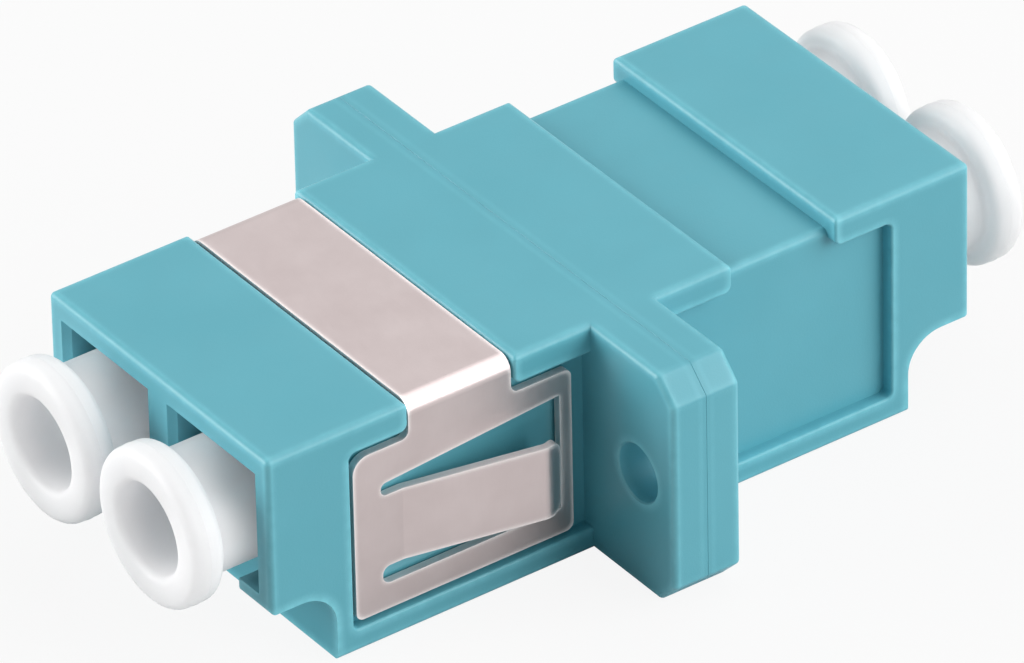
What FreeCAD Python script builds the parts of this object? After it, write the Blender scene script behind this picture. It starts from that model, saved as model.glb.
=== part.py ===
# Duplex LC fibre adapter: two welded housing halves with a screw flange, two split sleeves,
# a stamped panel clip and four pull-out dust caps.
#
# Frame: +X runs along the optical axis, from the clip's end to the other end, +Y runs across
# the two ports and +Z is up. The origin is the middle of the underside, on the weld plane.
# Shapes are made for the +X end, where the end face is at body_length / 2, and half a turn
# about Z carries them to the -X end. Lengths are in millimetres.
import FreeCAD, Part
import math
import os

from FreeCAD import Vector

# ---- Housing, outside ----
body_length = 29.4
body_width = 12.8
body_height = 9.2
edge_radius = 0.2
flange_width = 22.1
flange_thickness = 2.8
flange_corner = 0.9
seam_break = 0.015
screw_hole_diameter = 2.2
screw_hole_inset = 2.05
screw_hole_break = 0.05

# ---- Finger notch under each end, on the latch side of the ports ----
notch_length = 2.65
notch_height = 2.95
notch_radius = 1.4

# ---- Recess across the top and pocket in each side ----
mid_plate_length = 9.1
recess_length = 4.4
empty_recess_depth = 0.6
pocket_depth = 0.5
pocket_end_wall = 3.35
pocket_floor_rail = 0.9
pocket_top_rail = 1.1
pocket_corner = 0.25
pocket_rim_radius = 0.1
neck_corner = 0.3

# ---- Ports ----
port_pitch = 6.25
port_side = 4.65
port_lip = 0.55
port_lead_in = 0.25
latch_slot_width = 2.8
latch_slot_depth = 1.2
latch_chamber_width = 4.3
latch_chamber_floor = 1.0
latch_catch_depth = 4.1
web_thickness = 3.6

# ---- Split sleeves and the barrels that hold them ----
sleeve_length = 6.8
sleeve_outer_diameter = 1.62
sleeve_inner_diameter = 1.247
sleeve_slit = 0.25
sleeve_radial_play = 0.065
sleeve_end_play = 0.1
barrel_diameter = 2.96
barrel_end_wall = 0.7
barrel_mouth_diameter = 1.4
barrel_mouth_lead_in = 0.3

# ---- Panel clip, one stamping ----
clip_sheet = 0.3
clip_bend_radius = 0.25
band_sink = 0.05
band_gap = 0.08
wing_sink = 0.1
wing_gap_top = 0.36
wing_gap_bottom = 0.25
wing_gap_end = 0.17
wing_gap_flange = 0.75
wing_shoulder = 0.65
wing_corner = 0.3
window_bar = 0.5
window_end_bar = 1.12
window_foot_bar = 1.05
window_head_bar = 0.91
slot_end_rounding = 0.45
tongue_lift = 1.1
tongue_bend_radius = 0.4
tongue_root_straight = 0.45
tongue_tip_length = 0.55
tongue_tip_drop = 0.22
tongue_tip_corner = 0.45
lower_slot_width = 0.7
upper_slot_root_width = 0.5
upper_slot_tip_width = 1.03
panel_gap = 1.9

# ---- Dust caps ----
cap_fit = 0.05
cap_disc_diameter = 5.9
cap_disc_thickness = 1.3
cap_reach = 2.75
cap_rim_radius = 0.35
cap_neck_radius = 0.2
cap_grip_bore_diameter = 3.4
cap_grip_bore_depth = 5.0
cap_grip_mouth_radius = 0.3
cap_barrel_gap = 0.12
cap_seat_gap = 0.05
cap_skirt = 1.8
cap_lead_in = 0.3

# ---- Places worked out from the sizes above ----
end_face = body_length / 2
side_face = body_width / 2
screw_hole_pitch = flange_width - 2 * screw_hole_inset
flange_face = flange_thickness / 2
recess_start = mid_plate_length / 2
recess_end = recess_start + recess_length
pocket_end = end_face - pocket_end_wall
pocket_top = body_height - pocket_top_rail
port_floor = notch_height + port_lip
port_axis = port_floor + port_side / 2
web_face = web_thickness / 2
sleeve_seat_half = sleeve_length / 2 + sleeve_end_play
barrel_tip = sleeve_seat_half + barrel_end_wall
catch_face = end_face - latch_catch_depth

band_top = body_height - band_sink
clip_seat_depth = band_sink + clip_sheet
clip_seat_corner = clip_bend_radius + pocket_depth - wing_sink - clip_sheet
band_start = recess_start + band_gap
band_end = recess_end - band_gap
wing_outside = side_face - wing_sink
wing_inside = wing_outside - clip_sheet
wing_start = flange_face + wing_gap_flange
wing_end = pocket_end - wing_gap_end
wing_top = pocket_top - wing_gap_top
wing_bottom = pocket_floor_rail + wing_gap_bottom
window_start = wing_start + window_bar
window_end = wing_end - window_end_bar
slot_bottom = wing_bottom + window_foot_bar
tongue_bottom = slot_bottom + lower_slot_width
tongue_top = wing_top - window_head_bar - upper_slot_tip_width
tongue_free_end = flange_face + panel_gap

overcut = 1.0
NEAR = 1e-3
UP = Vector(0, 0, 1)
ORIGIN = Vector(0, 0, 0)


# ---- Drawing helpers ----
def block(low, high):
    """A box between two opposite corners."""
    size = [top - bottom for bottom, top in zip(low, high)]
    return Part.makeBox(size[0], size[1], size[2], Vector(*low))


def along_x(radius, start, end, y, z):
    """A cylinder along X."""
    return Part.makeCylinder(radius, end - start, Vector(start, y, z), Vector(1, 0, 0))


def in_xz(y):
    """A drawing plane facing Y, in which (u, v) is (x, z)."""
    return lambda u, v: Vector(u, y, v)


def in_yz(x):
    """A drawing plane facing X, in which (u, v) is (y, z)."""
    return lambda u, v: Vector(x, u, v)


def in_xy(z):
    """A drawing plane facing Z, in which (u, v) is (x, y)."""
    return lambda u, v: Vector(u, v, z)


def outline(corners, plane):
    """A flat face through corners (u, v, radius), with a tangent arc at each radius."""
    count = len(corners)
    stops = []
    for i, (u, v, radius) in enumerate(corners):
        corner = Vector(u, v, 0)
        back = Vector(*corners[i - 1][:2], 0) - corner
        ahead = Vector(*corners[(i + 1) % count][:2], 0) - corner
        if radius == 0:
            stops.append((corner, None, corner))
            continue
        back.normalize()
        ahead.normalize()
        half = back.getAngle(ahead) / 2
        reach = radius / math.tan(half)
        inward = (back + ahead).normalize()
        middle = corner + inward * (radius / math.sin(half) - radius)
        stops.append((corner + back * reach, middle, corner + ahead * reach))
    edges = []
    for i, (start, middle, end) in enumerate(stops):
        if middle is not None:
            arc = [plane(point.x, point.y) for point in (start, middle, end)]
            edges.append(Part.Arc(*arc).toShape())
        following = stops[(i + 1) % count][0]
        if end.distanceToPoint(following) > 1e-6:
            edges.append(Part.makeLine(plane(end.x, end.y), plane(following.x, following.y)))
    return Part.Face(Part.Wire(edges))


def sheet_section(path, thickness, bend_radius, plane):
    """The section of a sheet bent along a centre line of (u, v) points."""
    points = [Vector(u, v, 0) for u, v in path]
    last = len(points) - 1
    sides = {1: [], -1: []}
    for i, point in enumerate(points):
        before = (point - points[i - 1]).normalize() if i > 0 else None
        after = (points[i + 1] - point).normalize() if i < last else None
        before = before or after
        after = after or before
        across = Vector(-before.y - after.y, before.x + after.x, 0).normalize()
        reach = thickness / 2 / math.cos(before.getAngle(after) / 2)
        turn = before.cross(after).z
        for side in (1, -1):
            radius = 0
            if abs(turn) > 1e-9:
                inner = turn * side > 0
                radius = bend_radius if inner else bend_radius + thickness
            place = point + across * reach * side
            sides[side].append((place.x, place.y, radius))
    return outline(sides[1] + sides[-1][::-1], plane)


def is_at(value, place):
    """Whether a coordinate lies at a place, but for rounding."""
    return abs(value - place) < NEAR


def soften(shape, radius, wanted):
    """Round every edge whose middle is wanted."""
    edges = [edge for edge in shape.Edges if wanted(edge.CenterOfMass)]
    return shape.makeFillet(radius, edges)


def half_turn(shape):
    """The same piece carried to the other end of the adapter."""
    turned = shape.copy()
    turned.rotate(ORIGIN, UP, 180)
    return turned


def mirrored_across(shape):
    """The piece's mirror image on the other side, in Y."""
    return shape.mirror(ORIGIN, Vector(0, 1, 0))


# ---- Housing halves ----
def housing_outside(recess_depth):
    """The solid outside of one half, with its flange, notch, recess and side pockets."""
    body = block((0, -side_face, 0), (end_face, side_face, body_height))
    half_width = flange_width / 2
    corner = flange_corner
    flange = outline(
        [(-half_width, corner, 0), (-half_width + corner, 0, 0),
         (half_width - corner, 0, 0), (half_width, corner, 0),
         (half_width, body_height - corner, 0), (half_width - corner, body_height, 0),
         (-half_width + corner, body_height, 0), (-half_width, body_height - corner, 0)],
        in_yz(0)).extrude(Vector(flange_face, 0, 0))
    shape = body.fuse(flange)

    notch_wall = end_face - notch_length
    notch = outline(
        [(notch_wall, -overcut, 0), (notch_wall, notch_height, notch_radius),
         (end_face + overcut, notch_height, 0), (end_face + overcut, -overcut, 0)],
        in_xz(-side_face - overcut)).extrude(Vector(0, body_width + 2 * overcut, 0))
    shape = shape.cut(notch)

    recess = block((recess_start, -side_face - overcut, body_height - recess_depth),
                   (recess_end, side_face + overcut, body_height + overcut))
    shape = shape.cut(recess)

    pocket = outline(
        [(flange_face, pocket_floor_rail, 0), (pocket_end, pocket_floor_rail, pocket_corner),
         (pocket_end, pocket_top, pocket_corner), (recess_end, pocket_top, neck_corner),
         (recess_end, body_height + overcut, 0), (recess_start, body_height + overcut, 0),
         (recess_start, pocket_top, neck_corner), (flange_face, pocket_top, 0)],
        in_xz(side_face - pocket_depth)).extrude(Vector(0, pocket_depth + overcut, 0))
    shape = shape.cut(pocket).cut(mirrored_across(pocket))
    return shape.removeSplitter()


def port_cavity():
    """What one port takes out of a half, about a port axis at y = 0."""
    half = port_side / 2
    wide = half + port_lead_in
    cavity = block((web_face, -half, port_floor),
                   (end_face + overcut, half, port_floor + port_side))
    deep_end = outline([(-half, port_floor, 0), (half, port_floor, 0),
                        (half, port_floor + port_side, 0), (-half, port_floor + port_side, 0)],
                       in_yz(end_face - port_lead_in)).OuterWire
    wide_end = outline([(-wide, port_floor, 0), (wide, port_floor, 0),
                        (wide, port_floor + port_side + port_lead_in, 0),
                        (-wide, port_floor + port_side + port_lead_in, 0)],
                       in_yz(end_face)).OuterWire
    mouth = Part.makeLoft([deep_end, wide_end], True)
    barrel = along_x(barrel_diameter / 2, 0, barrel_tip, 0, port_axis)
    cavity = cavity.fuse(mouth).cut(barrel)

    slot = block((catch_face, -latch_slot_width / 2, port_floor - latch_slot_depth),
                 (end_face + overcut, latch_slot_width / 2, port_floor + port_lip))
    chamber_half = latch_chamber_width / 2
    chamber = block((0, -chamber_half, latch_chamber_floor),
                    (catch_face, chamber_half, port_floor))
    cavity = cavity.fuse([slot, chamber])

    seat_radius = sleeve_outer_diameter / 2 + sleeve_radial_play
    mouth_radius = barrel_mouth_diameter / 2
    seat = along_x(seat_radius, 0, sleeve_seat_half, 0, port_axis)
    throat = along_x(mouth_radius, 0, barrel_tip, 0, port_axis)
    funnel = Part.makeCone(mouth_radius, mouth_radius + barrel_mouth_lead_in,
                           barrel_mouth_lead_in,
                           Vector(barrel_tip - barrel_mouth_lead_in, 0, port_axis),
                           Vector(1, 0, 0))
    return cavity.fuse([seat, throat, funnel])


def screw_hole():
    """One flange hole of a half, with its broken edge, about an axis at y = 0."""
    radius = screw_hole_diameter / 2
    height = body_height / 2
    hole = along_x(radius, -overcut, flange_face + overcut, 0, height)
    rim = Part.makeCone(radius, radius + screw_hole_break, screw_hole_break,
                        Vector(flange_face - screw_hole_break, 0, height), Vector(1, 0, 0))
    return hole.fuse(rim)


def is_outer_edge(middle):
    """Outer edges that the moulding leaves rounded, away from the weld plane."""
    on_top = is_at(middle.z, body_height)
    on_end = is_at(middle.x, end_face)
    on_flange = abs(middle.y) > side_face + NEAR
    on_keel = is_at(middle.z, 0) and is_at(abs(middle.y), side_face)
    return middle.x > NEAR and (on_top or on_end or on_flange or on_keel)


def is_pocket_rim(middle):
    """The rim of a side pocket and of its neck, where it meets the side face."""
    inside = flange_face + NEAR < middle.x < pocket_end + NEAR
    above = middle.z > pocket_floor_rail - NEAR
    return inside and above and is_at(abs(middle.y), side_face)


def housing_half(recess_depth, recess_corner):
    """One half of the housing, made for the +X end."""
    shape = housing_outside(recess_depth)
    recess_floor = body_height - recess_depth
    pocket_wall = side_face - pocket_depth
    shape = soften(shape, recess_corner, lambda middle: is_at(middle.z, recess_floor)
                   and is_at(abs(middle.y), pocket_wall))
    shape = soften(shape, edge_radius, is_outer_edge)
    shape = soften(shape, pocket_rim_radius, is_pocket_rim)
    shape = shape.makeChamfer(seam_break, [edge for edge in shape.Edges
                                           if is_at(edge.CenterOfMass.x, 0)])
    for side in (-1, 1):
        shape = shape.cut(port_cavity().translated(Vector(0, side * port_pitch / 2, 0)))
        shape = shape.cut(screw_hole().translated(Vector(0, side * screw_hole_pitch / 2, 0)))
    return shape


# ---- Split sleeves ----
def split_sleeve():
    """A ceramic alignment sleeve with one slit along its top."""
    half = sleeve_length / 2
    tube = along_x(sleeve_outer_diameter / 2, -half, half, 0, port_axis)
    bore = along_x(sleeve_inner_diameter / 2, -half - overcut, half + overcut, 0, port_axis)
    slit = block((-half - overcut, -sleeve_slit / 2, port_axis),
                 (half + overcut, sleeve_slit / 2, port_axis + sleeve_outer_diameter))
    return tube.cut(bore).cut(slit)


# ---- Panel clip ----
def clip_wing():
    """The flat wing on the +Y side, up to its neck, with the window round its tongue."""
    neck_top = band_top - clip_sheet - clip_bend_radius
    wing = outline(
        [(wing_start, wing_bottom, wing_corner), (wing_end, wing_bottom, wing_corner),
         (wing_end, wing_top, wing_shoulder), (band_end, wing_top, neck_corner),
         (band_end, neck_top, 0), (band_start, neck_top, 0),
         (band_start, wing_top, neck_corner), (wing_start, wing_top, wing_corner)],
        in_xz(wing_inside)).extrude(Vector(0, clip_sheet, 0))
    root = window_end - tongue_root_straight
    slot_top = tongue_top + upper_slot_root_width
    lower_round = lower_slot_width * slot_end_rounding
    upper_round = upper_slot_root_width * slot_end_rounding
    window = outline(
        [(window_start, slot_bottom, 0), (window_end, slot_bottom, lower_round),
         (window_end, tongue_bottom, lower_round), (root, tongue_bottom, 0),
         (root, tongue_top, 0), (window_end, tongue_top, upper_round),
         (window_end, slot_top, upper_round),
         (window_start, tongue_top + upper_slot_tip_width, 0)],
        in_xz(wing_inside - overcut)).extrude(Vector(0, clip_sheet + 2 * overcut, 0))
    return wing.cut(window)


def clip_tongue():
    """The sprung tongue of the +Y wing, leaning out towards the flange."""
    middle = wing_inside + clip_sheet / 2
    root = window_end - tongue_root_straight
    tip_bend = tongue_free_end + tongue_tip_length
    path = [(root, middle), (root - tongue_root_straight, middle),
            (tip_bend, middle + tongue_lift),
            (tongue_free_end, middle + tongue_lift - tongue_tip_drop)]
    strip = sheet_section(path, clip_sheet, tongue_bend_radius, in_xy(tongue_bottom))
    strip = strip.extrude(Vector(0, 0, tongue_top - tongue_bottom))
    trim = outline(
        [(tongue_free_end, tongue_bottom, tongue_tip_corner), (root, tongue_bottom, 0),
         (root, tongue_top, 0), (tongue_free_end, tongue_top, tongue_tip_corner)],
        in_xz(wing_inside - overcut)).extrude(Vector(0, tongue_lift + 3 * overcut, 0))
    return strip.common(trim)


def panel_clip():
    """The whole clip: a band over the top with a wing and a tongue on each side."""
    centre = wing_inside + clip_sheet / 2
    height = band_top - clip_sheet / 2
    leg_foot = wing_top + neck_corner
    path = [(-centre, leg_foot), (-centre, height), (centre, height), (centre, leg_foot)]
    band = sheet_section(path, clip_sheet, clip_bend_radius, in_yz(band_start))
    band = band.extrude(Vector(band_end - band_start, 0, 0))
    side = clip_wing().fuse(clip_tongue())
    return band.fuse([side, mirrored_across(side)]).removeSplitter()


# ---- Dust caps ----
def dust_cap():
    """One cap, made for the port at the +X end, about a port axis at y = 0."""
    body_radius = port_side / 2 - cap_fit
    disc_radius = cap_disc_diameter / 2
    grip_radius = cap_grip_bore_diameter / 2
    barrel_radius = barrel_diameter / 2 + cap_barrel_gap
    outer_end = end_face + cap_reach
    grip_floor = outer_end - cap_grip_bore_depth
    seat = barrel_tip + cap_seat_gap
    inner_end = barrel_tip - cap_skirt
    profile = outline(
        [(inner_end, barrel_radius, 0), (inner_end, body_radius - cap_lead_in, 0),
         (inner_end + cap_lead_in, body_radius, 0),
         (outer_end - cap_disc_thickness, body_radius, cap_neck_radius),
         (outer_end - cap_disc_thickness, disc_radius, cap_rim_radius),
         (outer_end, disc_radius, cap_rim_radius),
         (outer_end, grip_radius, cap_grip_mouth_radius),
         (grip_floor, grip_radius, cap_grip_mouth_radius), (grip_floor, 0, 0),
         (seat, 0, 0), (seat, barrel_radius, 0)],
        in_xz(0))
    cap = profile.revolve(ORIGIN, Vector(1, 0, 0), 360)
    return cap.translated(Vector(0, 0, port_axis))


# ---- The nodes ----
def build():
    """Every piece of the adapter in its place, by node name."""
    half_pitch = port_pitch / 2
    cap = dust_cap()
    sleeve = split_sleeve()
    nodes = {
        "front_housing": half_turn(housing_half(clip_seat_depth, clip_seat_corner)),
        "rear_housing": housing_half(empty_recess_depth, edge_radius),
        "panel_clip": half_turn(panel_clip()),
    }
    for name, side in (("left", 1), ("right", -1)):
        place = Vector(0, side * half_pitch, 0)
        nodes[f"{name}_sleeve"] = sleeve.translated(place)
        nodes[f"front_{name}_cap"] = half_turn(cap).translated(place)
        nodes[f"rear_{name}_cap"] = cap.translated(place)
    return nodes


os.makedirs("parts", exist_ok=True)
for name, shape in build().items():
    shape.exportStep(f"parts/{name}.step")
    print(name, len(shape.Solids), shape.isValid(), round(shape.Volume, 2))
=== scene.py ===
# %% [markdown]
# # Dressing a duplex LC fibre adapter
# The adapter is 35 mm long, and joins two pairs of plugged fibres end to end. Two moulded
# halves are welded together at a flange, a stamped spring clip is folded over one half, two
# ceramic sleeves sit inside, and a soft white dust cap fills each of the four ports.
# The solids come from the CAD part and are never moved. This lesson gives them their finishes,
# turns the caps on a lathe made of nodes, sweeps the sleeves, and lights it all.

# %% Load the CAD part
import math

import bmesh
import bpy
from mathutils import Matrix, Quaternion, Vector


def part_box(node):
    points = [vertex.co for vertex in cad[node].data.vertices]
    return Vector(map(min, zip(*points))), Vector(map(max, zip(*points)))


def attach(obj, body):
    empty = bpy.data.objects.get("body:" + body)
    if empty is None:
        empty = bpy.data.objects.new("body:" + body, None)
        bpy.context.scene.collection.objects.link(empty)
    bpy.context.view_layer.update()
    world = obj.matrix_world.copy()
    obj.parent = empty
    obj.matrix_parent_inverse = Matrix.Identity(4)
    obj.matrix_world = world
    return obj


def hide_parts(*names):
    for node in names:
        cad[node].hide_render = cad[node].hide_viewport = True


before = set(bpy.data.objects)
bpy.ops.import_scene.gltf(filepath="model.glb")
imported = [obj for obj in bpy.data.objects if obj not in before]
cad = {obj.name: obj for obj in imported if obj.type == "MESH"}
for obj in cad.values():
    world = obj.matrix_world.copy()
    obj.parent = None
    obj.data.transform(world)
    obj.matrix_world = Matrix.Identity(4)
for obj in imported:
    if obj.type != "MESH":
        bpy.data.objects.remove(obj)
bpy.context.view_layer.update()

scene = bpy.context.scene
MM = 0.001

# %% [markdown]
# ## Small helpers for node trees
# A material and a Geometry Nodes tree are built the same way: nodes are added, their sockets
# are given numbers or wired to other nodes. One short function serves both kinds of tree, so
# that each recipe below reads as a list of its steps and not as wiring.


# %% A function that adds a node and fills its sockets
def add(tree, kind, sockets=None, **settings):
    """Add a node, set its options, then fill each named socket with a number or a wire."""
    node = tree.nodes.new(kind)
    for option, value in settings.items():
        setattr(node, option, value)
    for name, value in (sockets or {}).items():
        socket = node.inputs[name]
        if isinstance(value, bpy.types.NodeSocket):
            tree.links.new(value, socket)
        else:
            socket.default_value = value
    return node


def sums(tree, operation, first, second):
    """One step of arithmetic, as the socket that holds its result."""
    return add(tree, "ShaderNodeMath", {0: first, 1: second}, operation=operation).outputs[0]


print("helpers ready:", add.__name__, "and", sums.__name__)

# %% [markdown]
# ## Finishes: what every moulded or stamped surface shares
# A real surface is never one flat colour. Two things give it life at this size: broad, faint
# clouding in the colour, and a grain fine enough to be felt more than seen. On top of these the
# edges are painted paler, a painted highlight for the light that a rounded edge catches. The
# edges are found with Ambient Occlusion turned inwards: close to an outside edge, rays sent into
# the material soon come out again. That works on rounded edges as well as sharp ones, and from
# every side of the part.


# %% Functions for clouding and painted edge highlights
def on_object(tree, stretch=(1, 1, 1)):
    """The piece's own coordinates in metres, stretched along an axis where grain runs."""
    place = add(tree, "ShaderNodeTexCoord").outputs["Object"]
    return add(tree, "ShaderNodeMapping", {"Vector": place, "Scale": stretch}).outputs[0]


def cloud(tree, where, size, detail=2.0):
    """Soft noise whose blotches are about size metres across."""
    made = add(tree, "ShaderNodeTexNoise",
               {"Vector": where, "Scale": 1 / size, "Detail": detail, "Roughness": 0.5})
    return made.outputs["Fac"]


def spread(tree, value, low, high, to_low=0.0, to_high=1.0):
    """Stretch the range low to high over another range, held at its ends."""
    made = add(tree, "ShaderNodeMapRange",
               {"Value": value, "From Min": low, "From Max": high,
                "To Min": to_low, "To Max": to_high}, clamp=True)
    return made.outputs[0]


def outside_edge(tree, reach, full=0.55, none=0.98):
    """1 on an outside edge, falling to 0 at reach metres from it, or sooner for a lower none."""
    made = add(tree, "ShaderNodeAmbientOcclusion", {"Distance": reach}, samples=6, inside=True)
    return spread(tree, made.outputs["AO"], full, none, 1.0, 0.0)


print("pattern helpers ready:", cloud.__name__, "and", outside_edge.__name__)

# %% [markdown]
# The patterns do nothing by themselves. One mixes two colours, one raises the surface, and the
# shader takes both. Bumps are laid over each other by passing each one's normal to the next.
# Numbers that are the same all over a finish are set on the shader's own sockets.


# %% Functions for colour, relief and a new finish
def blend_colour(tree, share, first, second):
    """A mix of two colours by a share from 0 to 1."""
    made = add(tree, "ShaderNodeMix", data_type="RGBA")
    for index, value in ((0, share), (6, first), (7, second)):
        if isinstance(value, bpy.types.NodeSocket):
            tree.links.new(value, made.inputs[index])
        else:
            made.inputs[index].default_value = value if index == 0 else (*value, 1)
    return made.outputs[2]


def relief(tree, layers):
    """Bumps laid over each other: each layer is (height, depth in metres, strength)."""
    normal = None
    for height, depth, strength in layers:
        sockets = {"Height": height, "Distance": depth, "Strength": strength}
        if normal is not None:
            sockets["Normal"] = normal
        normal = add(tree, "ShaderNodeBump", sockets).outputs[0]
    return normal


def new_finish(name, colour, **constants):
    """A material with its shader's own constants set, ready for detail."""
    made = bpy.data.materials.new(name)
    made.use_nodes = True
    made.diffuse_color = (*colour, 1)
    shader = made.node_tree.nodes["Principled BSDF"]
    shader.inputs["Base Color"].default_value = (*colour, 1)
    for socket, value in constants.items():
        shader.inputs[socket.replace("_", " ")].default_value = value
    return made, made.node_tree, shader


print("finish helpers ready:", blend_colour.__name__, "and", relief.__name__)

# %% [markdown]
# ## Aqua moulded plastic
# The housing is a glass-smooth moulding with a fine spark-eroded grain, so it is satin: light
# spreads over it, yet a rounded edge still draws a thin pale line. The colour clouds by a few
# percent where the melt flowed, and the edges are painted paler in patches, a painted highlight
# that widens those lines. The painted highlight stops short of the weld, on the plane x = 0.

# %% Make the housing's plastic
def aqua_plastic():
    base, deep, painted_edge_highlight = (0.121, 0.430, 0.516), (0.111, 0.412, 0.496), (0.25, 0.71, 0.81)
    made, tree, shader = new_finish("aqua_plastic", base, Specular_IOR_Level=0.4)
    here = on_object(tree)
    melt = spread(tree, cloud(tree, here, 4.5 * MM, 3), 0.35, 0.65)
    along = add(tree, "ShaderNodeSeparateXYZ", {0: here}).outputs[0]
    off_weld = spread(tree, sums(tree, "ABSOLUTE", along, 0), 0.12 * MM, 0.36 * MM)
    # painted highlight: a paler colour laid along outside edges, cut away near the weld
    edge = sums(tree, "MULTIPLY", outside_edge(tree, 0.40 * MM), off_weld)
    highlight_patches = spread(tree, cloud(tree, here, 0.5 * MM, 3), 0.30, 0.70, 0.45, 0.85)
    painted_highlight_share = sums(tree, "MULTIPLY", edge, highlight_patches)
    body = blend_colour(tree, melt, deep, base)
    # the pale colour on the edges is a painted highlight, broken up by patchy noise
    tree.links.new(blend_colour(tree, painted_highlight_share, body, painted_edge_highlight), shader.inputs["Base Color"])
    sheen = spread(tree, cloud(tree, here, 1.1 * MM, 4), 0.3, 0.7, 0.30, 0.40)
    tree.links.new(sheen, shader.inputs["Roughness"])
    grain = cloud(tree, here, 0.06 * MM, 3)
    sink = cloud(tree, here, 5.0 * MM, 1)
    tree.links.new(relief(tree, [(sink, 0.10 * MM, 0.30), (grain, 0.010 * MM, 0.35)]),
                   shader.inputs["Normal"])
    return made


aqua = aqua_plastic()
print("finish made:", aqua.name)

# %% [markdown]
# ## Rolled stainless sheet
# The clip is punched and folded from spring sheet. Rolling leaves fine lines along the strip,
# which here run across the housing and down its sides, so the grain is stretched across X.
# The punched edges are freshly torn metal, rougher than the faces, and their colour is painted
# paler, a painted highlight for the light that they catch. A reach just under the sheet's 0.3 mm
# picks out the whole cut edge, and only a hair's width of the face beside it.

# %% Make the clip's metal
def stainless_sheet():
    base, dull, painted_cut_highlight = (0.61, 0.53, 0.525), (0.57, 0.49, 0.485), (0.86, 0.81, 0.80)
    made, tree, shader = new_finish("stainless_sheet", base, Metallic=1.0)
    here = on_object(tree)
    along = on_object(tree, (1, 0.07, 0.07))
    lines = cloud(tree, along, 0.05 * MM, 4)
    haze = spread(tree, cloud(tree, here, 1.6 * MM, 3), 0.3, 0.7)
    # painted highlight: the cut edges get a paler colour; their higher roughness is the torn
    # metal's own
    edge = outside_edge(tree, 0.28 * MM, 0.54, 0.74)
    face = blend_colour(tree, haze, dull, base)
    tree.links.new(blend_colour(tree, edge, face, painted_cut_highlight), shader.inputs["Base Color"])
    torn = sums(tree, "MULTIPLY", edge, 0.3)
    tree.links.new(sums(tree, "ADD", torn, spread(tree, lines, 0.3, 0.7, 0.33, 0.41)),
                   shader.inputs["Roughness"])
    pitting = cloud(tree, here, 0.11 * MM, 3)
    tree.links.new(relief(tree, [(lines, 0.004 * MM, 0.20), (pitting, 0.006 * MM, 0.35)]),
                   shader.inputs["Normal"])
    return made


steel = stainless_sheet()
print("finish made:", steel.name)

# %% [markdown]
# ## Soft white plastic and ground ceramic
# The caps are soft polyethylene: light goes a little way in and comes out again, which blurs
# their shading, and their skin is waxy. The sleeves are zirconia, ground round and round, so
# their fine rings follow the axis along X.

# %% Make the caps' plastic and the sleeves' ceramic
def white_plastic():
    base, shade = (0.905, 0.895, 0.91), (0.885, 0.875, 0.895)
    made, tree, shader = new_finish("white_plastic", base, Subsurface_Weight=1.0,
                                    Subsurface_Radius=(1.0, 1.0, 1.0),
                                    Subsurface_Scale=2.8 * MM, Specular_IOR_Level=0.4)
    here = on_object(tree)
    milk = spread(tree, cloud(tree, here, 1.8 * MM, 3), 0.3, 0.7)
    tree.links.new(blend_colour(tree, milk, shade, base), shader.inputs["Base Color"])
    tree.links.new(spread(tree, cloud(tree, here, 0.7 * MM, 3), 0.3, 0.7, 0.38, 0.52),
                   shader.inputs["Roughness"])
    skin = cloud(tree, here, 0.09 * MM, 3)
    dents = cloud(tree, here, 1.3 * MM, 2)
    tree.links.new(relief(tree, [(dents, 0.05 * MM, 0.25), (skin, 0.008 * MM, 0.30)]),
                   shader.inputs["Normal"])
    return made


def zirconia():
    base, shade = (0.88, 0.87, 0.83), (0.82, 0.81, 0.77)
    made, tree, shader = new_finish("zirconia", base, Subsurface_Weight=0.15,
                                    Subsurface_Scale=0.3 * MM, Specular_IOR_Level=0.7)
    here = on_object(tree)
    rings = cloud(tree, on_object(tree, (1, 0.05, 0.05)), 0.03 * MM, 3)
    tone = spread(tree, cloud(tree, here, 0.8 * MM, 3), 0.3, 0.7)
    tree.links.new(blend_colour(tree, tone, shade, base), shader.inputs["Base Color"])
    tree.links.new(spread(tree, rings, 0.3, 0.7, 0.16, 0.28), shader.inputs["Roughness"])
    tree.links.new(relief(tree, [(rings, 0.002 * MM, 0.3)]), shader.inputs["Normal"])
    return made


white = white_plastic()
ceramic = zirconia()
print("finishes made:", white.name, "and", ceramic.name)

# %% [markdown]
# ## Finishes on the CAD solids
# The housing halves and the clip already have the right shape, rounded edges and all, so the
# CAD solids stay as they are and only their material is changed. A material belongs to a slot,
# so each slot of a solid is handed the finish, and its mesh isn't touched.

# %% Put the finishes on
def give_finish(node, finish):
    """Put one finish in every material slot of a CAD solid."""
    for slot in cad[node].material_slots:
        slot.material = finish


for node, finish in (("front_housing", aqua), ("rear_housing", aqua), ("panel_clip", steel)):
    give_finish(node, finish)
    print(node, "is now", finish.name)

# %% [markdown]
# ## A lathe made of nodes
# A dust cap is round about its port, so its whole shape follows from one section. Geometry
# Nodes can turn it: the section's corners are points in a line, each moved to its place by
# the sizes; Fillet Curve rounds each by its own radius; and a flat grid is then wrapped round
# the axis, one side of it following the section and the other the turn. The sizes are inputs
# of the tree, so one tree serves all four caps, and any cap that is longer or wider.


# %% Start a tree with named sizes
def new_tree(name, sizes):
    """A Geometry Nodes tree with named inputs, and the sockets that carry them."""
    tree = bpy.data.node_groups.new(name, "GeometryNodeTree")
    for title, (kind, value) in sizes.items():
        socket = tree.interface.new_socket(title, in_out="INPUT", socket_type=kind)
        socket.default_value = value
    tree.interface.new_socket("Geometry", in_out="OUTPUT", socket_type="NodeSocketGeometry")
    entry = tree.nodes.new("NodeGroupInput")
    return tree, {title: entry.outputs[title] for title in sizes}


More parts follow.
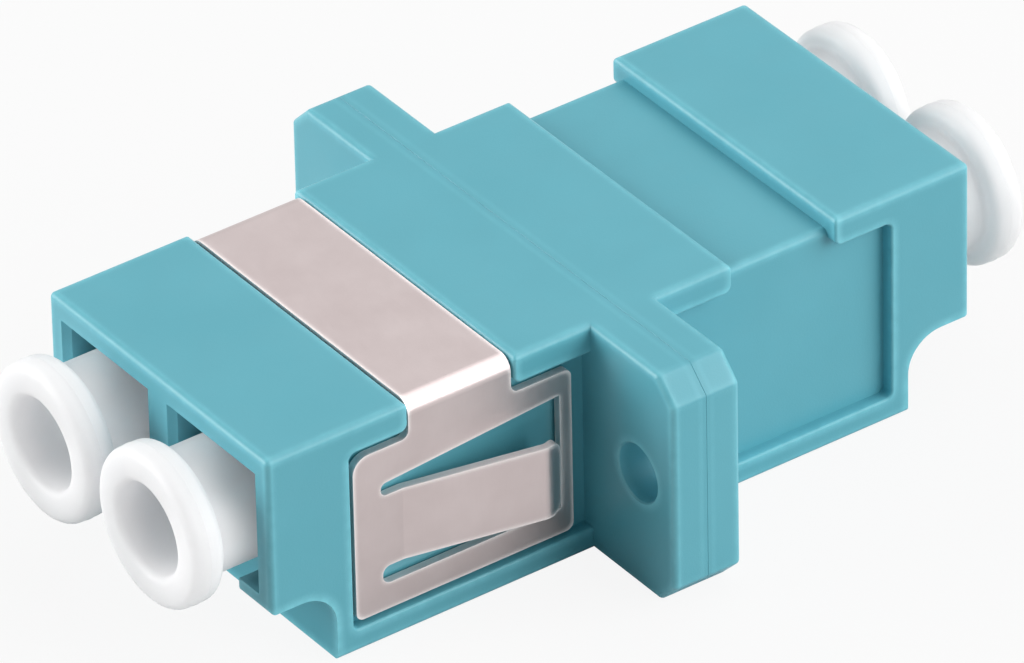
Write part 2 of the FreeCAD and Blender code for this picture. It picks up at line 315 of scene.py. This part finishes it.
def choose(tree, index, values, kind):
    """The value whose place in the list is the index."""
    node = add(tree, "GeometryNodeIndexSwitch", {0: index}, data_type=kind)
    while len(node.index_switch_items) < len(values):
        node.index_switch_items.new()
    for place, value in enumerate(values, start=1):
        if isinstance(value, bpy.types.NodeSocket):
            tree.links.new(value, node.inputs[place])
        else:
            node.inputs[place].default_value = value
    return node.outputs[0]


def section_curve(tree, corners):
    """A closed curve through corners (u, v, radius), rounded at each."""
    index = add(tree, "GeometryNodeInputIndex").outputs[0]
    us, vs, radii = ([corner[i] for corner in corners] for i in range(3))
    place = add(tree, "ShaderNodeCombineXYZ", {"X": choose(tree, index, us, "FLOAT"),
                                               "Y": choose(tree, index, vs, "FLOAT")})
    line = add(tree, "GeometryNodeMeshLine", {"Count": len(corners)})
    moved = add(tree, "GeometryNodeSetPosition",
                {"Geometry": line.outputs[0], "Position": place.outputs[0]})
    curve = add(tree, "GeometryNodeMeshToCurve", {"Mesh": moved.outputs[0]})
    closed = add(tree, "GeometryNodeSetSplineCyclic",
                 {"Geometry": curve.outputs[0], "Cyclic": True})
    return closed.outputs[0], choose(tree, index, radii, "FLOAT")


print("section helpers ready:", new_tree.__name__, "and", section_curve.__name__)

# %% [markdown]
# The grid's flat X becomes a place on the section, found by Sample Index, and its flat Y
# becomes an angle. Points that meet at the seam and on the axis are merged afterwards, so the
# skin is closed, and the bare edge that is left along the axis is deleted. Wrapped this way
# round, the faces look inwards, so they are flipped.

# %% Wrap a section round the X axis
MEETING = 0.00002 * MM


def turned(tree, section, rounds):
    """The skin that a section (x, radius) sweeps round the X axis."""
    count = add(tree, "GeometryNodeAttributeDomainSize", {"Geometry": section},
                component="CURVE").outputs[0]
    grid = add(tree, "GeometryNodeMeshGrid",
               {"Size X": 1.0, "Size Y": 1.0,
                "Vertices X": sums(tree, "ADD", count, 1),
                "Vertices Y": sums(tree, "ADD", rounds, 1)})
    flat = add(tree, "ShaderNodeSeparateXYZ",
               {0: add(tree, "GeometryNodeInputPosition").outputs[0]})
    step = sums(tree, "ROUND", sums(tree, "MULTIPLY",
                                    sums(tree, "ADD", flat.outputs[0], 0.5), count), 0)
    wrapped = sums(tree, "MODULO", step, count)
    angle = sums(tree, "MULTIPLY", sums(tree, "ADD", flat.outputs[1], 0.5), 2 * math.pi)
    point = add(tree, "GeometryNodeSampleIndex",
                {"Geometry": section,
                 "Value": add(tree, "GeometryNodeInputPosition").outputs[0],
                 "Index": wrapped}, data_type="FLOAT_VECTOR", domain="POINT")
    place = add(tree, "ShaderNodeSeparateXYZ", {0: point.outputs[0]})
    radius = place.outputs[1]
    round_y = sums(tree, "MULTIPLY", radius, sums(tree, "COSINE", angle, 0))
    round_z = sums(tree, "MULTIPLY", radius, sums(tree, "SINE", angle, 0))
    target = add(tree, "ShaderNodeCombineXYZ",
                 {"X": place.outputs[0], "Y": round_y, "Z": round_z})
    moved = add(tree, "GeometryNodeSetPosition",
                {"Geometry": grid.outputs[0], "Position": target.outputs[0]})
    merged = add(tree, "GeometryNodeMergeByDistance",
                 {"Geometry": moved.outputs[0], "Distance": MEETING})
    faces = add(tree, "GeometryNodeInputMeshEdgeNeighbors").outputs[0]
    bare = add(tree, "FunctionNodeCompare", {2: faces, 3: 0},
               data_type="INT", operation="EQUAL").outputs[0]
    tidy = add(tree, "GeometryNodeDeleteGeometry",
               {"Geometry": merged.outputs[0], "Selection": bare},
               domain="EDGE", mode="EDGE_FACE")
    return add(tree, "GeometryNodeFlipFaces", {"Mesh": tidy.outputs[0]}).outputs[0]


print("lathe helper ready:", turned.__name__)

# %% [markdown]
# Rounded corners need faces that share their light, and hard corners do not, so an edge that
# turns by more than 38 degrees is sharp. Every tree then ends the same way: the piece is turned
# and moved, made real, and given its finish.

# %% Shade the corners and close a tree
HARD_TURN = math.radians(38)


def hard_corners(tree, geometry):
    """Smooth light everywhere but across an edge that turns sharply."""
    smooth = add(tree, "GeometryNodeSetShadeSmooth",
                 {"Geometry": geometry, "Shade Smooth": True}, domain="FACE")
    turn = add(tree, "GeometryNodeInputMeshEdgeAngle").outputs[0]
    sharp = add(tree, "FunctionNodeCompare", {0: turn, 1: HARD_TURN},
                data_type="FLOAT", operation="GREATER_THAN").outputs[0]
    return add(tree, "GeometryNodeSetShadeSmooth",
               {"Geometry": smooth.outputs[0], "Selection": sharp, "Shade Smooth": False},
               domain="EDGE").outputs[0]


def close_tree(tree, geometry, finish, sizes):
    """Turn and move the piece to its place, then realise it, finish it and hand it out."""
    placed = add(tree, "GeometryNodeTransform",
                 {"Geometry": geometry, "Translation": sizes["Place"],
                  "Rotation": sizes["Turn"]})
    real = add(tree, "GeometryNodeRealizeInstances", {0: placed.outputs[0]})
    dressed = add(tree, "GeometryNodeSetMaterial",
                  {"Geometry": real.outputs[0], "Material": finish})
    add(tree, "NodeGroupOutput", {0: dressed.outputs[0]})


print("corners sharp above", round(math.degrees(HARD_TURN)), "degrees")

# %% [markdown]
# ## From tree to plain mesh
# A modifier runs the tree. Its inputs are set by each socket's identifier before anything is
# evaluated; then the evaluated result is copied out as an ordinary mesh and the modifier is
# taken off, so that what rides on the body is plain geometry that any program can read.

# %% Run a tree and keep its mesh
def run_tree(name, tree, values):
    """A plain mesh object made by a tree, with the given sizes."""
    piece = bpy.data.objects.new(name, bpy.data.meshes.new(name))
    scene.collection.objects.link(piece)
    modifier = piece.modifiers.new("Shape", "NODES")
    modifier.node_group = tree
    for item in tree.interface.items_tree:
        if item.in_out == "INPUT" and item.name in values:
            modifier[item.identifier] = values[item.name]
    evaluated = piece.evaluated_get(bpy.context.evaluated_depsgraph_get())
    mesh = bpy.data.meshes.new_from_object(evaluated)
    piece.modifiers.remove(modifier)
    mesh.name = name
    piece.data = mesh
    return piece


def skin_check(mesh):
    """The volume inside in mm3, which is negative inside out, and the count of open edges."""
    shape = bmesh.new()
    shape.from_mesh(mesh)
    volume = shape.calc_volume(signed=True) / MM ** 3
    holes = sum(1 for edge in shape.edges if len(edge.link_faces) != 2)
    shape.free()
    return round(volume, 2), holes


def wearing(piece, node, body, slot):
    """The piece rides on a body and stands for a CAD node."""
    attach(piece, body)
    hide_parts(node)
    volume, holes = skin_check(piece.data)
    print(piece.name, "rides on", body, "with", len(piece.data.polygons), "faces,",
          volume, "mm3 inside and", holes, "open edges")


print("mesh helpers ready:", run_tree.__name__, "and", wearing.__name__)

# %% [markdown]
# ## The dust caps
# A cap is a soft tube with a flat disc for finger and thumb. Behind the disc a blind bore
# saves material and gives it spring, and the far end is bored out to pass over the sleeve's
# barrel. Two traces of the mould are worth having: the gate's small nub on the bore's floor,
# and a hair-fine ring of flash round the disc, where the mould's halves met.

# %% Describe the cap's tree
CAP_SIZES = {
    "Length": ("NodeSocketFloat", 15.05 * MM),
    "Plug Radius": ("NodeSocketFloat", 2.275 * MM),
    "Disc Radius": ("NodeSocketFloat", 2.95 * MM),
    "Disc Thickness": ("NodeSocketFloat", 1.3 * MM),
    "Rim Radius": ("NodeSocketFloat", 0.35 * MM),
    "Neck Radius": ("NodeSocketFloat", 0.2 * MM),
    "Grip Bore Radius": ("NodeSocketFloat", 1.7 * MM),
    "Grip Bore Depth": ("NodeSocketFloat", 5.0 * MM),
    "Grip Mouth Radius": ("NodeSocketFloat", 0.3 * MM),
    "Barrel Bore Radius": ("NodeSocketFloat", 1.6 * MM),
    "Barrel Bore Depth": ("NodeSocketFloat", 1.85 * MM),
    "Lead In": ("NodeSocketFloat", 0.3 * MM),
    "Gate Radius": ("NodeSocketFloat", 0.45 * MM),
    "Gate Height": ("NodeSocketFloat", 0.18 * MM),
    "Flash Height": ("NodeSocketFloat", 0.02 * MM),
    "Rounds": ("NodeSocketInt", 96),
    "Place": ("NodeSocketVector", (0, 0, 0)),
    "Turn": ("NodeSocketRotation", (0, 0, 0)),
}
FLASH_WIDTH = 0.09 * MM


def cap_tree():
    """The dust cap, with its disc's outer face at x = 0 and its axis along X."""
    tree, size = new_tree("dust_cap", CAP_SIZES)
    inner_end = sums(tree, "MULTIPLY", size["Length"], -1)
    lead_x = sums(tree, "ADD", inner_end, size["Lead In"])
    lead_r = sums(tree, "SUBTRACT", size["Plug Radius"], size["Lead In"])
    disc_back = sums(tree, "MULTIPLY", size["Disc Thickness"], -1)
    flash_x = sums(tree, "MULTIPLY", disc_back, 0.5)
    flash_back = sums(tree, "SUBTRACT", flash_x, FLASH_WIDTH / 2)
    flash_front = sums(tree, "ADD", flash_x, FLASH_WIDTH / 2)
    rim_r = sums(tree, "SUBTRACT", size["Disc Radius"], size["Flash Height"])
    floor_x = sums(tree, "MULTIPLY", size["Grip Bore Depth"], -1)
    gate_x = sums(tree, "ADD", floor_x, size["Gate Height"])
    seat_x = sums(tree, "ADD", inner_end, size["Barrel Bore Depth"])
    bore, grip, gate = size["Barrel Bore Radius"], size["Grip Bore Radius"], size["Gate Radius"]
    corners = [
        (inner_end, bore, 0.0), (inner_end, lead_r, 0.0), (lead_x, size["Plug Radius"], 0.0),
        (disc_back, size["Plug Radius"], size["Neck Radius"]),
        (disc_back, rim_r, size["Rim Radius"]),
        (flash_back, rim_r, 0.0), (flash_x, size["Disc Radius"], 0.0), (flash_front, rim_r, 0.0),
        (0.0, rim_r, size["Rim Radius"]), (0.0, grip, size["Grip Mouth Radius"]),
        (floor_x, grip, size["Grip Mouth Radius"]), (floor_x, gate, 0.0),
        (gate_x, gate, 0.05 * MM), (gate_x, 0.0, 0.0), (seat_x, 0.0, 0.0), (seat_x, bore, 0.0),
    ]
    curve, radius = section_curve(tree, corners)
    rounded = add(tree, "GeometryNodeFilletCurve",
                  {"Curve": curve, "Radius": radius, "Limit Radius": True, "Count": 6},
                  mode="POLY")
    skin = turned(tree, rounded.outputs[0], size["Rounds"])
    close_tree(tree, hard_corners(tree, skin), white, size)
    return tree


lathe = cap_tree()
print("cap tree:", len(lathe.nodes), "nodes")

# %% [markdown]
# Each cap takes its place from the box of the solid that it stands for: its axis is the box's
# middle, and its outer face is the box's far end. Caps at the clip's end point the other way,
# so they are turned by half a turn about Z.

# %% Turn the four caps
for node in ("front_left_cap", "front_right_cap", "rear_left_cap", "rear_right_cap"):
    low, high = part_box(node)
    front = node.startswith("front")
    place = ((low.x if front else high.x), (low.y + high.y) / 2, (low.z + high.z) / 2)
    values = {"Place": place, "Turn": (0, 0, math.pi if front else 0),
              "Length": high.x - low.x, "Disc Radius": (high.y - low.y) / 2}
    wearing(run_tree(node + "_moulding", lathe, values), node, node, "white_plastic")

# %% [markdown]
# ## The split sleeves
# A sleeve is a spring: a ceramic ring with a slit, a touch smaller than the ferrules that it
# lines up. It follows an even simpler rule. An arc that stops short of a full turn is the path,
# and a rectangle as long as the sleeve and as thick as its wall, with broken corners, is swept
# along it. Fill Caps closes the two faces of the slit.

# %% Sweep the sleeves
SLEEVE_SIZES = {
    "Length": ("NodeSocketFloat", 6.8 * MM),
    "Outer Radius": ("NodeSocketFloat", 0.81 * MM),
    "Wall": ("NodeSocketFloat", 0.1865 * MM),
    "Slit": ("NodeSocketFloat", 0.25 * MM),
    "Break": ("NodeSocketFloat", 0.04 * MM),
    "Place": ("NodeSocketVector", (0, 0, 0)),
    "Turn": ("NodeSocketRotation", (0, 0, 0)),
}


def sleeve_tree():
    """A split sleeve about the X axis, with its slit on top."""
    tree, size = new_tree("split_sleeve", SLEEVE_SIZES)
    half_wall = sums(tree, "MULTIPLY", size["Wall"], 0.5)
    middle = sums(tree, "SUBTRACT", size["Outer Radius"], half_wall)
    gap = sums(tree, "DIVIDE", size["Slit"], middle)
    path = add(tree, "GeometryNodeCurveArc",
               {"Resolution": 72, "Radius": middle,
                "Start Angle": sums(tree, "MULTIPLY", gap, 0.5),
                "Sweep Angle": sums(tree, "SUBTRACT", 2 * math.pi, gap)}, mode="RADIUS")
    wall = add(tree, "GeometryNodeCurvePrimitiveQuadrilateral",
               {"Width": size["Wall"], "Height": size["Length"]}, mode="RECTANGLE")
    broken = add(tree, "GeometryNodeFilletCurve",
                 {"Curve": wall.outputs[0], "Radius": size["Break"], "Count": 2}, mode="POLY")
    swept = add(tree, "GeometryNodeCurveToMesh",
                {"Curve": path.outputs[0], "Profile Curve": broken.outputs[0],
                 "Fill Caps": True})
    upright = add(tree, "GeometryNodeTransform",
                  {"Geometry": hard_corners(tree, swept.outputs[0]),
                   "Rotation": (0, -math.pi / 2, 0)})
    close_tree(tree, upright.outputs[0], ceramic, size)
    return tree


sweep = sleeve_tree()
for node in ("left_sleeve", "right_sleeve"):
    low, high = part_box(node)
    values = {"Place": tuple((low + high) / 2), "Length": high.x - low.x}
    wearing(run_tree(node + "_ceramic", sweep, values), node, "adapter", "zirconia")

# %% [markdown]
# ## Floor, light and camera
# The adapter lies on a plain white floor in a light tent. The tent gives a faint light from all
# round, and three soft lamps do most of the work. The floor shows almost pure white to the
# camera, but part of it stays a real floor, so the adapter's shadow still falls on it. Metal and
# satin plastic mirror the same white, so a second share is kept for mirror rays. Where the part
# hides the floor from the tent, Ambient Occlusion takes that share away again, or the lower
# faces would mirror a floor that is far too bright for a place in shadow.

# %% Lay the floor and hang the surroundings
FLOOR_REACH = 1.5
FLOOR_GREY = (0.65, 0.65, 0.65, 1)
SEEN_WHITE = 0.90
MIRRORED_WHITE = 0.92
NOOK_REACH = 9 * MM
TENT_LEVEL = 0.16


def seen_and_mirrored(tree):
    """Two shares: 1 for rays from the camera, and 1 for rays off a mirror or through plastic."""
    rays = add(tree, "ShaderNodeLightPath").outputs
    return rays["Is Camera Ray"], sums(tree, "MAXIMUM", rays["Is Glossy Ray"],
                                       rays["Is Transmission Ray"])


def make_floor():
    """A wide white floor that keeps a faint shadow."""
    mesh = bpy.data.meshes.new("studio_floor")
    signs = ((-1, -1), (1, -1), (1, 1), (-1, 1))
    corners = [(x * FLOOR_REACH, y * FLOOR_REACH, 0) for x, y in signs]
    mesh.from_pydata(corners, [], [(0, 1, 2, 3)])
    floor = bpy.data.objects.new("studio_floor", mesh)
    scene.collection.objects.link(floor)
    paper = bpy.data.materials.new("white_floor")
    paper.use_nodes = True
    tree = paper.node_tree
    shader = tree.nodes["Principled BSDF"]
    shader.inputs["Base Color"].default_value = FLOOR_GREY
    shader.inputs["Roughness"].default_value = 0.9
    shader.inputs["Specular IOR Level"].default_value = 0.1
    glow = add(tree, "ShaderNodeEmission", {"Color": (1, 1, 1, 1), "Strength": 1.0})
    seen, mirrored = seen_and_mirrored(tree)
    nook = add(tree, "ShaderNodeAmbientOcclusion", {"Distance": NOOK_REACH}, samples=8)
    open_air = spread(tree, nook.outputs["AO"], 0.35, 0.80, 0.0, MIRRORED_WHITE)
    share = sums(tree, "MAXIMUM", sums(tree, "MULTIPLY", seen, SEEN_WHITE),
                 sums(tree, "MULTIPLY", mirrored, open_air))
    mixed = add(tree, "ShaderNodeMixShader",
                {0: share, 1: shader.outputs[0], 2: glow.outputs[0]})
    tree.links.new(mixed.outputs[0], tree.nodes["Material Output"].inputs["Surface"])
    mesh.materials.append(paper)
    return floor


def make_surroundings(level):
    """White all round: at level for soft light, at 1 where seen, nearly so where mirrored."""
    world = bpy.data.worlds.new("light_tent")
    world.use_nodes = True
    tree = world.node_tree
    seen, mirrored = seen_and_mirrored(tree)
    strength = sums(tree, "MAXIMUM", sums(tree, "MAXIMUM", seen, level),
                    sums(tree, "MULTIPLY", mirrored, MIRRORED_WHITE))
    tree.links.new(strength, tree.nodes["Background"].inputs["Strength"])
    tree.nodes["Background"].inputs["Color"].default_value = (1, 1, 1, 1)
    scene.world = world


make_floor()
make_surroundings(TENT_LEVEL)
print("floor laid, and the tent lights at", TENT_LEVEL)

# %% [markdown]
# A lamp's size against its distance decides how soft it is. These are about as wide as they are
# far off, so no shadow has a hard edge. One hangs overhead, one stands at the near right for the
# long side, and one at the far left reaches the faces that look towards the clip's end.

# %% Hang three soft lamps
AIM = Vector((0, 0, 4.6 * MM))


def soft_lamp(name, place, width, height, power):
    """A flat lamp, width across and height up, that faces the adapter."""
    light = bpy.data.lights.new(name, "AREA")
    light.shape = "RECTANGLE"
    light.size, light.size_y = width, height
    light.energy = power
    lamp = bpy.data.objects.new(name, light)
    lamp.location = place
    lamp.rotation_mode = "QUATERNION"
    lamp.rotation_quaternion = (AIM - lamp.location).to_track_quat("-Z", "Y")
    lamp.visible_camera = False
    scene.collection.objects.link(lamp)
    print(name, "gives", power, "W from", round((AIM - lamp.location).length, 2), "m")


soft_lamp("overhead_lamp", Vector((0.17, 0.00, 0.32)), 0.36, 0.36, 0.50)
soft_lamp("near_right_lamp", Vector((0.23, -0.27, 0.17)), 0.40, 0.32, 1.42)
soft_lamp("far_left_lamp", Vector((-0.28, 0.21, 0.13)), 0.34, 0.25, 1.36)

# %% [markdown]
# The camera stands 0.46 m off with a very long lens, so the adapter's long edges stay almost
# parallel. It looks down by a third of a right angle and a little more, from the clip's end.

# %% Set the camera
def set_camera():
    """A long lens, turned a little about its own axis and shifted to frame the adapter."""
    azimuth, height, roll = (math.radians(a) for a in (-35.174, 34.50, -1.314))
    back = Vector((math.sin(azimuth) * math.cos(height),
                   -math.cos(azimuth) * math.cos(height), math.sin(height)))
    data = bpy.data.cameras.new("camera")
    data.sensor_width = 36
    data.lens = 469.5
    data.shift_x, data.shift_y = 0.0258, 0.0177
    data.clip_start, data.clip_end = 0.02, 10
    camera = bpy.data.objects.new("camera", data)
    camera.location = Vector((-1.2, 0, 4.65)) * MM + back * 455.8 * MM
    camera.rotation_mode = "QUATERNION"
    upright = (-back).to_track_quat("-Z", "Y")
    camera.rotation_quaternion = upright @ Quaternion((0, 0, 1), roll)
    scene.collection.objects.link(camera)
    scene.camera = camera


set_camera()
scene.view_settings.view_transform = "Standard"
print("camera set")
